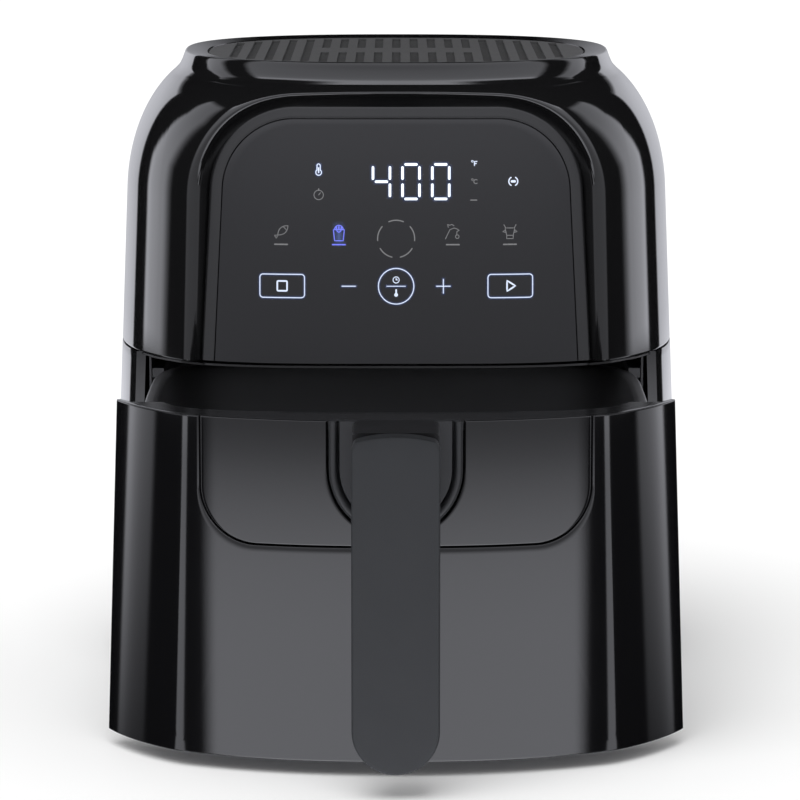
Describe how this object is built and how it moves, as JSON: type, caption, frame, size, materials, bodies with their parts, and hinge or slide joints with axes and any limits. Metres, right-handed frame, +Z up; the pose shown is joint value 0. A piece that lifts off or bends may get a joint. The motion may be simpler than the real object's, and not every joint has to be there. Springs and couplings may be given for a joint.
{
  "type": "air fryer",
  "caption": "Basket air fryer with a gloss domed housing, arched touch panel, top vent grille and a pull-out drawer with a vertical grip, drawer standing open.",
  "frame": {"origin": "middle of the footprint of the whole object, drawer standing open, on the surface that the feet stand on", "axes": "+Z up, the drawer slides out towards -Y, +X to the right seen from the front"},
  "size_m": [0.2958, 0.4468, 0.3157],
  "materials": {
    "gloss_black_shell": "high-gloss moulded plastic",
    "vent_grey": "fine matte texture",
    "bezel_grey": "satin plastic",
    "touch_glass": "smooth printed touch film with lit symbols",
    "satin_black": "satin moulded plastic",
    "grip_charcoal": "finely grained matte plastic",
    "bracket_grey": "satin plastic",
    "coated_steel": "dark non-stick coating",
    "bright_steel": "plain sheet steel",
    "element_steel": "heat-darkened tube",
    "rubber_black": "soft rubber",
    "silicone": "silicone",
    "board_green": "circuit board",
    "white_plastic": "plain moulded plastic"
  },
  "bodies": {
    "housing": {"upper_housing": "gloss_black_shell", "lower_housing": "gloss_black_shell", "top_vent_grille": "vent_grey", "control_bezel": "bezel_grey", "touch_panel": "touch_glass", "base_plate": "satin_black", "rear_vent": "satin_black", "drawer_switch": "satin_black", "divider_plate": "satin_black", "chamber_liner": "coated_steel", "drawer_runner_left": "coated_steel", "drawer_runner_right": "coated_steel", "heat_reflector": "bright_steel", "element_guard": "bright_steel", "temperature_probe": "bright_steel", "motor_bracket": "bright_steel", "fan_motor": "bright_steel", "motor_screw_left": "bright_steel", "motor_screw_right": "bright_steel", "base_screw_front_left": "bright_steel", "base_screw_front_right": "bright_steel", "base_screw_rear_left": "bright_steel", "base_screw_rear_right": "bright_steel", "heating_element": "element_steel", "foot_front_left": "rubber_black", "foot_front_right": "rubber_black", "foot_rear_left": "rubber_black", "foot_rear_right": "rubber_black", "cord_gland": "rubber_black", "display_board": "board_green", "power_board": "board_green", "light_mask": "white_plastic", "thermal_cutout": "white_plastic", "terminal_block": "white_plastic"},
    "drawer": {"drawer_front": "gloss_black_shell", "drawer_fascia": "gloss_black_shell", "drawer_cap": "satin_black", "drawer_inner_cover": "satin_black", "basket": "coated_steel", "switch_tab": "satin_black", "handle_bracket": "bracket_grey", "handle_grip": "grip_charcoal", "handle_back": "grip_charcoal", "grip_screw": "bright_steel", "handle_screw_left": "bright_steel", "handle_screw_right": "bright_steel"},
    "crisper": {"crisper_plate": "coated_steel", "plate_foot_front_left": "silicone", "plate_foot_front_right": "silicone", "plate_foot_rear_left": "silicone", "plate_foot_rear_right": "silicone"},
    "fan_rotor": {"motor_shaft": "bright_steel", "convection_fan": "bright_steel", "fan_nut": "bright_steel", "cooling_fan": "white_plastic"},
    "switch_button": {"switch_plunger": "white_plastic"}
  },
  "joints": [
    {"name": "drawer_slide", "type": "slide", "parent": "housing", "child": "drawer", "axis": [0, -1, 0], "range_m": [-0.143, 0.03]},
    {"name": "crisper_plate_lift", "type": "slide", "parent": "drawer", "child": "crisper", "axis": [0, 0, 1], "range_m": [0, 0.12]},
    {"name": "fan_spin", "type": "hinge", "parent": "housing", "child": "fan_rotor", "pos_m": [0, 0.0966, 0.19], "axis": [0, 0, 1], "continuous": true},
    {"name": "switch_button_travel", "type": "slide", "parent": "housing", "child": "switch_button", "axis": [0, 1, 0], "range_m": [0, 0.003], "stiffness_N_per_m": 300}
  ]
}
